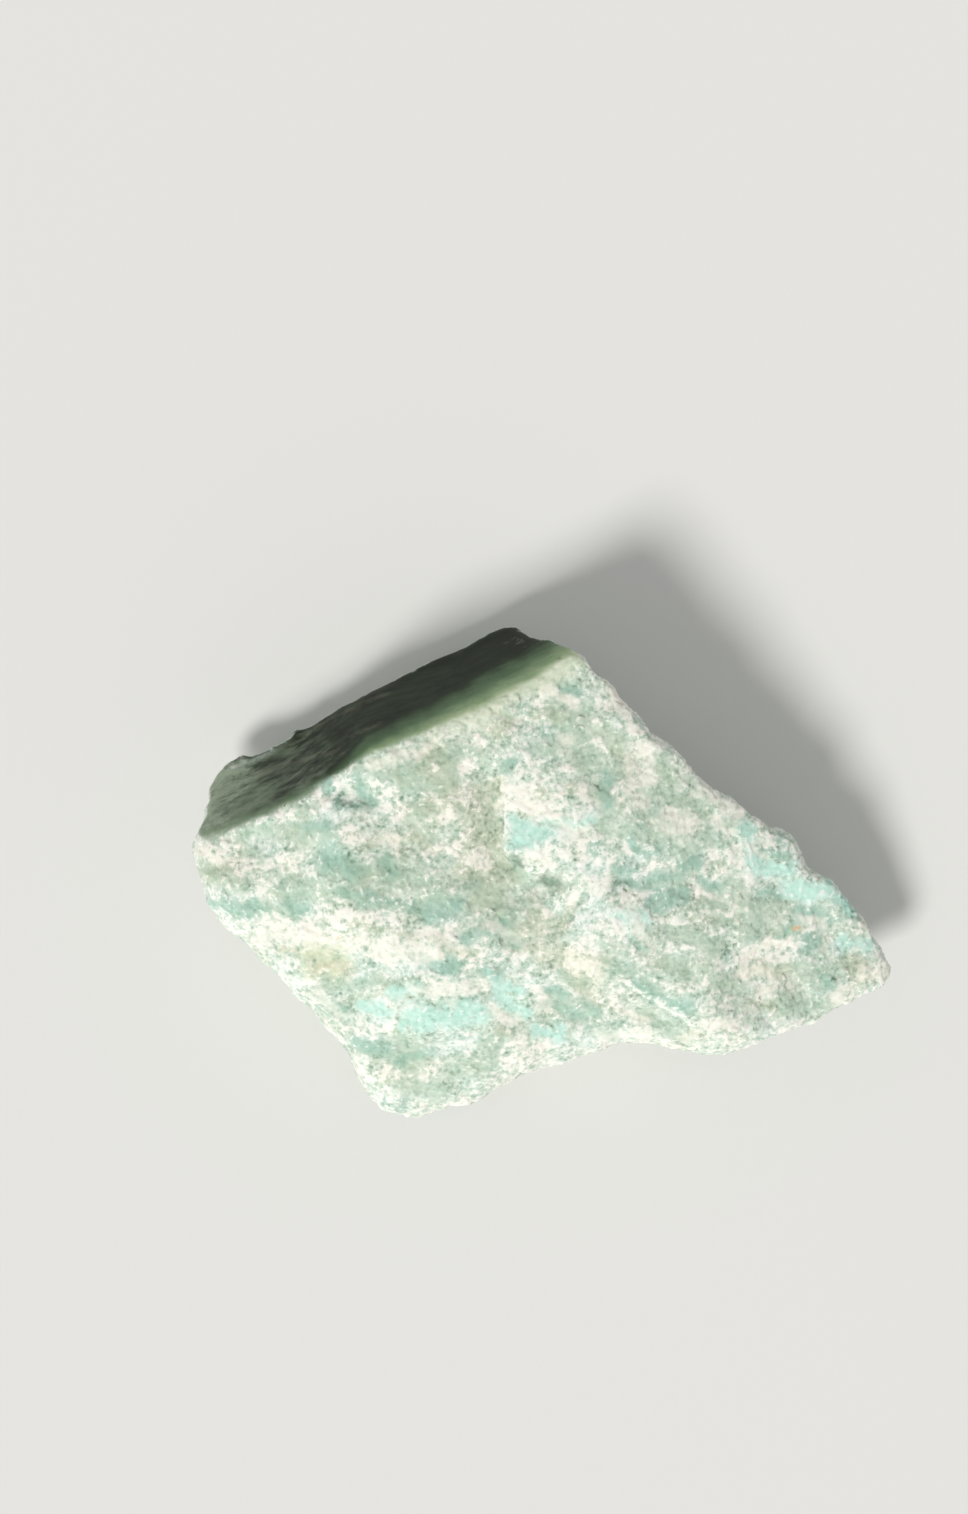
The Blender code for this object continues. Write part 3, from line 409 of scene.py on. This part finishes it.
def rough_stone():
    """The stone with its fine breaks, and the numbers that its material reads."""
    stone = bpy.data.objects.new("rough_stone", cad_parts["aventurine_stone"].data.copy())
    bpy.context.scene.collection.objects.link(stone)
    voxels = stone.modifiers.new("even facets", "REMESH")
    voxels.mode = "VOXEL"
    voxels.voxel_size = VOXEL * MM
    apply_modifiers(stone)
    mesh = stone.data
    mesh.materials.clear()

    ends = read(mesh.edges, "vertices", 2, int)
    points = evened(read(mesh.vertices, "co", 3) / MM, ends, 0.5, RELAX_STEPS)
    spots = points[:, :2]
    beyond, along = beside(RIDGE, waver(spots, 1.2, 0.3))
    mesh.vertices.foreach_set("co", (points * MM).ravel())
    mesh.update()
    normals = read(mesh.vertices, "normal", 3)
    smooth = smooth_side(points, normals, beyond, along)
    up = rise((normals[:, 2] + 0.1) / 0.3)
    inner = rise((normals[:, 2] - 0.72) / 0.2) * rise(-beyond / 1.5)
    calm = np.maximum(inner, smooth * rise((beyond - 1) / 1.5))
    points = evened(points, ends, 0.5 * calm[:, None], CALM_STEPS)

    relief = sum(breaks(points, width) * tilt for width, tilt in BREAKS)
    relief *= 1 - (1 - BREAKS_ON_SIDE) * smooth
    relief *= 1 - (1 - BREAKS_BEYOND) * rise(beyond)
    relief *= BREAKS_BELOW + (1 - BREAKS_BELOW) * up
    relief *= rise(points[:, 2] / FOOT_BLEND)
    points += normals * relief[:, None]
    drops = stepped(waver(spots, 0.8, 0.3)) * rise((normals[:, 2] - 0.3) / 0.3)
    points[:, 2] -= drops
    hollow = evened(points, ends, 0.5, CREST_STEPS)
    crest = np.einsum("ij,ij->i", points - hollow, normals) / CREST_HEIGHT

    low, high = np.array(cad_box[0]) / MM, np.array(cad_box[1]) / MM
    points = np.clip(points, low, high)
    mesh.vertices.foreach_set("co", (points * MM).ravel())

    wavy = waver(waver(spots, 1.6, 0.7), 0.5, 0.35)
    for name, marks in MARKS.items():
        keep(mesh, name, mark_strength(marks, wavy) * up * (1 - smooth))
    for name, marks in SIDE_MARKS.items():
        keep(mesh, name, mark_strength(marks, spots) * smooth)
    keep(mesh, "smooth", smooth)
    keep(mesh, "beyond", np.clip(beyond, -5, 9))
    keep(mesh, "along", along)
    keep(mesh, "crest", crest)
    # How far the steps lowered each spot, which the material darkens as painted shade
    keep(mesh, "low", drops / 0.4)
    # Steep flanks, which the material lightens as painted light where they lie in shade
    keep(mesh, "lean", 1 - rise((normals[:, 2] - 0.35) / 0.45))
    keep(mesh, "away", 1 - rise(normals[:, 2] / 0.35))
    mesh.update()

    mesh.calc_loop_triangles()
    fewer = stone.modifiers.new("fewer facets", "DECIMATE")
    fewer.ratio = MOST_TRIANGLES / len(mesh.loop_triangles)
    apply_modifiers(stone)
    points = np.clip(read(stone.data.vertices, "co", 3), low * MM, high * MM)
    stone.data.vertices.foreach_set("co", points.ravel())
    stone.data.update()
    stone.data.shade_smooth()
    return stone


class Wire:
    """What comes out of a shader node. Arithmetic on it adds Math nodes."""

    def __init__(self, finish, socket):
        self.finish, self.socket = finish, socket

    def __add__(self, other):
        return self.finish.math("ADD", self, other)

    def __sub__(self, other):
        return self.finish.math("SUBTRACT", self, other)

    def __rsub__(self, other):
        return self.finish.math("SUBTRACT", other, self)

    def __mul__(self, other):
        return self.finish.math("MULTIPLY", self, other)

    def __truediv__(self, other):
        return self.finish.math("DIVIDE", self, other)

    __radd__ = __add__
    __rmul__ = __mul__


class Finish:
    """A material, and the nodes that its look is worked out from."""

    def __init__(self, name):
        self.material = bpy.data.materials.new(name)
        self.material.use_nodes = True
        self.tree = self.material.node_tree
        self.shader = self.tree.nodes["Principled BSDF"]

    def node(self, kind, settings=None, sockets=None, out=0):
        """A node of a kind: its settings are made first, then its sockets get their values or wires."""
        made = self.tree.nodes.new(kind)
        for name, value in (settings or {}).items():
            if name == "stops":
                ramp = made.color_ramp.elements
                ramp.remove(ramp[1])
                ramp[0].position, ramp[0].color = value[0]
                for at, colour in value[1:]:
                    ramp.new(at).color = colour
            else:
                setattr(made, name, value)
        for name, value in (sockets or {}).items():
            self.put(made.inputs[name], value)
        return Wire(self, made.outputs[out])

    def put(self, socket, value):
        """Give a socket a value or a wire."""
        if isinstance(value, Wire):
            self.tree.links.new(value.socket, socket)
        else:
            socket.default_value = value

    def math(self, operation, *values):
        return self.node("ShaderNodeMath", {"operation": operation}, dict(enumerate(values)))

    def step(self, value, low, high):
        """From 0 to 1 in a soft S as a value goes from low to high."""
        return self.node("ShaderNodeMapRange", {"interpolation_type": "SMOOTHSTEP"},
                         {"Value": value, "From Min": low, "From Max": high})

    def mix(self, share, a, b):
        """Two colours mixed, all a at 0 and all b at 1."""
        return self.node("ShaderNodeMix", {"data_type": "RGBA"}, {0: share, 6: a, 7: b}, 2)

    def ramp(self, value, *stops):
        """The colours of the stops, each at its place from 0 to 1, blended in between."""
        return self.node("ShaderNodeValToRGB", {"stops": stops}, {"Fac": value})

    def number(self, name):
        """A number kept on the mesh."""
        return self.node("ShaderNodeAttribute", {"attribute_name": name}, out=2)

    def vector(self, operation, *values, **named):
        """Arithmetic on colours and places."""
        return self.node("ShaderNodeVectorMath", {"operation": operation},
                         {**dict(enumerate(values)), **named})

    def noise(self, where, width, detail, roughness, out=0):
        """Fractal noise with its largest lumps this wide."""
        return self.node("ShaderNodeTexNoise", None,
                         {"Vector": where, "Scale": 1 / width, "Detail": detail, "Roughness": roughness}, out)

    def waver(self, where, width, reach):
        """A place moved about by soft noise."""
        away = self.vector("SUBTRACT", self.noise(where, width, 2, 0.5, out=1), (0.5, 0.5, 0.5))
        return self.vector("ADD", where, self.vector("SCALE", away, Scale=reach))

    def cells(self, where, width):
        """Grains this wide: how far a place is from its grain's middle, and the grain's own tone."""
        gap = self.node("ShaderNodeTexVoronoi", None, {"Vector": where, "Scale": 1 / width})
        return gap, Wire(self, gap.socket.node.outputs[1])

    def rims(self, where, width):
        """How far a place is from the rim of its grain."""
        return self.node("ShaderNodeTexVoronoi", {"feature": "DISTANCE_TO_EDGE"},
                         {"Vector": where, "Scale": 1 / width})


# The broken face from dark to light, where it is greyer and where it is greener
WARM = [(0.0, shade(134, 150, 128)), (0.25, shade(174, 187, 166)), (0.5, shade(204, 213, 194)),
        (0.75, shade(227, 230, 215)), (1.0, shade(244, 241, 230))]
COOL = [(0.0, shade(112, 146, 129)), (0.25, shade(160, 189, 173)), (0.5, shade(193, 214, 202)),
        (0.75, shade(220, 232, 223)), (1.0, shade(241, 243, 236))]
# The dark green of the painted shade in those pits
PIT_SHADE = shade(112, 140, 118)
# Painted light: a pale glow on the face just short of the ridge
RIDGE_LIGHT = shade(212, 221, 196)

# Patches of the broken face: how much lighter, cooler and clearer of crumbs each is, and how well it covers
PATCHES = {
    "white": {"light": 0.25, "cool": -0.2},
    "mint": {"light": 0.13, "cool": 0.3, "clear": 0.4},
    "sage": {"light": -0.10, "clear": 1.0, "cover": 0.45, "tint": shade(180, 203, 179)},
    "olive": {"light": -0.09, "cool": -0.4, "clear": 0.6, "cover": 0.25, "tint": shade(178, 188, 164)},
    "teal": {"light": -0.15, "cool": 0.3, "clear": 1.0, "cover": 0.55, "tint": shade(152, 192, 174)},
    "turquoise": {"light": 0.10, "cool": 0.4, "clear": 0.6, "cover": 0.7, "tint": shade(184, 230, 216)},
    "cream": {"light": 0.20, "clear": 0.4, "cover": 0.5, "tint": shade(247, 243, 229)},
    "yellow": {"cover": 0.5, "tint": shade(210, 220, 186)},
    "tan": {"cover": 0.5, "tint": shade(224, 216, 190)},
    "rust": {"cover": 0.8, "tint": shade(228, 190, 146)},
}

# Noise in the stone: the width of its lumps, its finer layers and how strong they are
HUES = (3.4, 3, 0.55)
CLOUDS = (2.6, 2, 0.6)
BROAD = (9, 3, 0.55)
FLECKS = (0.95, 2, 0.7)
GRIT = (0.4, 2, 0.6)
STREAKS = (1.1, 4, 0.6)
STREAK_TURN = -27
STREAK_STRETCH = 0.12
GRAIN_WIDTH = 0.7
THREAD_WIDTH = 1.1

# The smooth side from the ridge outward, a painted glow of light through the ridge that sinks into painted
# shade over the side's own dark glassy green, then its veins, haze and rough spots
GLOW = [(0.0, shade(222, 229, 206)), (0.15, shade(200, 213, 180)), (0.34, shade(154, 177, 138)),
        (0.62, shade(98, 124, 93)), (1.0, shade(50, 61, 46))]
# The side's own dark glassy green, made darker still as painted shade
SIDE_BLACK = shade(36, 43, 33)
SIDE_GREEN = shade(60, 75, 56)
VEIN = shade(108, 107, 94)
HAZE = shade(166, 182, 158)
ROUGH = shade(120, 124, 106)


class Speckle:
    """The small patterns that the broken face and the smooth side share, as numbers around 0."""

    def __init__(self, finish, place):
        self.cloud = finish.noise(finish.vector("ADD", place, (40, 0, 0)), *CLOUDS) - 0.5
        self.fleck = finish.noise(place, *FLECKS) - 0.5
        self.grit = finish.noise(finish.waver(place, 0.5, 0.25), *GRIT) - 0.5
        self.gap, self.grain_tone = finish.cells(finish.waver(place, 0.6, 0.5), GRAIN_WIDTH)


def patch(finish, speckle, name, low=0.0, high=1.15):
    """A mark with an edge that the specks break up."""
    mark = finish.number(name)
    ragged = speckle.fleck * 1.6 + speckle.grit * 0.7
    return finish.step(mark + ragged * finish.step(mark, 0.0, 0.4), low, high)


def swayed(start, patches, effect):
    """A number moved by each patch that has this effect."""
    for name, strength in patches.items():
        if effect in PATCHES[name]:
            start = start + strength * PATCHES[name][effect]
    return start


def all_patches(finish, place, speckle, hue, away):
    """Every patch of the broken face, and more of the same in broad lumps where the stone faces away."""
    patches = {name: patch(finish, speckle, name) for name in PATCHES}
    broad = finish.noise(finish.vector("ADD", place, (0, 60, 0)), *BROAD)
    patches["white"] += away * finish.step(broad, 0.54, 0.66) * 0.9
    patches["teal"] += away * finish.step(broad, 0.47, 0.36) * 0.8
    patches["sage"] += away * finish.step(hue + speckle.fleck * 0.5, 0.46, 0.36) * 0.7
    return patches


def broken_face(finish, place, speckle):
    """Pale green grains with crushed white crumbs and threads between them, in patches of other greens."""
    hue = finish.noise(place, *HUES)
    away = finish.number("away")
    crest = finish.number("crest")
    # Painted shade on the low ground below each step, which also gets fewer crumbs and a warmer green
    low = finish.number("low")
    patches = all_patches(finish, place, speckle, hue, away)
    # Painted shade in the pits under the lump, which also keeps crumbs out of them
    dark = patch(finish, speckle, "dark", 0.1, 1.4)
    clear = swayed(0, patches, "clear")
    cloud, fleck, grit = speckle.cloud, speckle.fleck, speckle.grit

    crumb = crest * 0.7 + grit * 3.0 + fleck * 4.0 + cloud * 2.0
    crumb = crumb + patches["white"] * 0.9 - clear * 0.4 - low * 0.8 - dark * 0.9
    crumb = finish.step(crumb, 0.6, 1.2)
    thread = finish.step(finish.rims(finish.waver(place, 0.8, 0.5), THREAD_WIDTH), 0.09, 0.02)
    thread = thread * finish.step(fleck, 0.0, 0.1)

    grain = finish.step(speckle.gap, 0.62, 0.12) * finish.step(speckle.grain_tone, 0.4, 0.9)
    tone = cloud * 0.6 + (fleck * 1.2 + grit * 1.25 + grain * 0.24) * (1 - clear * 0.3)
    tone = swayed(tone + 0.565, patches, "light")
    # crest lightens the crushed crests and darkens the hollows as painted shade; low darkens the ground below
    # each step as painted shade
    tone = tone + crumb * 0.27 + crest * 0.045 + thread * 0.16 - low * 0.10
    # Painted light: steep flanks lightened, though not where the stone faces down
    tone = tone + (finish.number("lean") - away * 1.2) * 0.12
    cool = swayed((hue - 0.5) * 2.0 + 0.5 - low * 0.25, patches, "cool")
    colour = finish.mix(cool, finish.ramp(tone, *WARM), finish.ramp(tone, *COOL))
    solid = 1 - crumb * 0.7
    for name, strength in patches.items():
        if "tint" in PATCHES[name]:
            colour = finish.mix(strength * PATCHES[name]["cover"] * solid, colour, PATCHES[name]["tint"])
    # The pits turn dark green: painted shade
    colour = finish.mix(dark * (1 - crumb * 0.5) * 0.9, colour, PIT_SHADE)

    # Painted light: the face turns pale short of the ridge on its right half, as light glows through the thin
    # ridge
    ridge_light = finish.step(finish.number("beyond") + cloud * 1.5, -1.5, 0.0)
    ridge_light = ridge_light * finish.step(finish.number("along"), 0.45, 0.7)
    return finish.mix(ridge_light * (1 - away) * 0.7, colour, RIDGE_LIGHT)


def smooth_dark_side(finish, place, speckle):
    """A painted green glow below the ridge that sinks into near black as painted shade over the side's own
    dark glassy green, with streaks, veins and a pale left end.
    """
    along = finish.number("along")
    stretched = finish.node("ShaderNodeMapping", {"vector_type": "POINT"},
                            {"Vector": place, "Rotation": (0, 0, math.radians(STREAK_TURN)),
                             "Scale": (STREAK_STRETCH, 1.0, 1.0)})
    streak = finish.noise(stretched, *STREAKS) - 0.5
    green = finish.step(streak, -0.2, 0.25) * finish.step(along, 1.0, 0.3)
    colour = finish.mix(green, SIDE_BLACK, SIDE_GREEN)
    # Painted glow near the ridge, sinking into painted shade further down the side
    depth = (finish.number("beyond") + 0.3) / (finish.step(along, 0.35, 0.8) * 1.3 + 2.4)
    depth = depth + streak * 0.3 + finish.step(along, 0.6, 0.3) * 0.22
    colour = finish.mix(finish.step(depth, 1.15, 0.75), colour, finish.ramp(depth, *GLOW))
    colour = finish.mix(finish.step(along - streak * 0.5, 0.42, 0.0) * 0.68, colour, HAZE)
    mottle = streak * 2.4 + speckle.grit * 0.8
    for name, cover, tint in (("vein", 0.45, VEIN), ("haze", 0.9, HAZE)):
        mark = finish.number(name)
        mark = finish.step(mark + mottle * finish.step(mark, 0.0, 0.4), 0.05, 1.2)
        colour = finish.mix(mark * cover, colour, tint)
    rough = finish.step(finish.number("rough") * (speckle.fleck * 4.0 + 0.6), 0.3, 0.9)
    colour = finish.mix(rough * 0.5, colour, ROUGH)
    return finish.vector("SCALE", colour, Scale=speckle.grit * 0.3 + 1)


def aventurine():
    """Granular pale green quartz with crushed white grains, and one glassy dark side."""
    finish = Finish("aventurine")
    place = finish.vector("SCALE", finish.node("ShaderNodeTexCoord", out=3), Scale=1 / MM)
    speckle = Speckle(finish, place)
    smooth = finish.number("smooth")
    face = broken_face(finish, place, speckle)
    side = smooth_dark_side(finish, place, speckle)

    shader = finish.shader.inputs
    finish.put(shader["Base Color"], finish.mix(smooth, face, side))
    finish.put(shader["Roughness"], 0.62 - smooth * 0.16)
    shader["Subsurface Weight"].default_value = 0.4
    shader["Subsurface Radius"].default_value = (1.0, 1.0, 1.0)
    shader["Subsurface Scale"].default_value = 0.7 * MM
    shader["Specular IOR Level"].default_value = 0.04
    lumps = (1 - speckle.gap + speckle.fleck + speckle.grit) * 0.6 * (1 - smooth)
    bump = finish.node("ShaderNodeBump", None, {"Strength": 0.5, "Distance": 0.1 * MM, "Height": lumps})
    finish.put(shader["Normal"], bump)
    return finish.material


def studio():
    """A plain pale floor, one soft light from the lower left, an even room and a camera above."""
    scene = bpy.context.scene
    bpy.ops.mesh.primitive_plane_add(size=FLOOR_SIZE, location=(0, 0, 0))
    floor = bpy.context.object
    floor.name = "floor"
    paint = Finish("floor paint")
    paint.shader.inputs["Base Color"].default_value = shade(226, 226, 223)
    paint.shader.inputs["Roughness"].default_value = 0.8
    floor.data.materials.append(paint.material)

    key = bpy.data.lights.new("key", "SUN")
    key.energy = KEY_STRENGTH
    key.angle = math.radians(KEY_ANGLE)
    key.color = KEY_COLOUR
    lamp = bpy.data.objects.new("key", key)
    lamp.rotation_euler = Vector(KEY_FROM).to_track_quat("Z", "Y").to_euler()
    scene.collection.objects.link(lamp)

    world = bpy.data.worlds.new("room")
    world.use_nodes = True
    background = world.node_tree.nodes["Background"].inputs
    background["Color"].default_value = (*ROOM_COLOUR, 1)
    background["Strength"].default_value = ROOM_STRENGTH
    scene.world = world
    scene.view_settings.view_transform = "Standard"

    lens = bpy.data.cameras.new("camera")
    lens.sensor_width = SENSOR
    lens.lens = SENSOR * (EYE[2] - EDGE_HEIGHT) / (PICTURE_HEIGHT * MM_PER_PIXEL)
    camera = bpy.data.objects.new("camera", lens)
    camera.location = Vector(EYE) * MM
    scene.collection.objects.link(camera)
    scene.camera = camera


studio()
stone = rough_stone()
stone.data.materials.append(aventurine())
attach(stone, "root")
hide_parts("aventurine_stone")
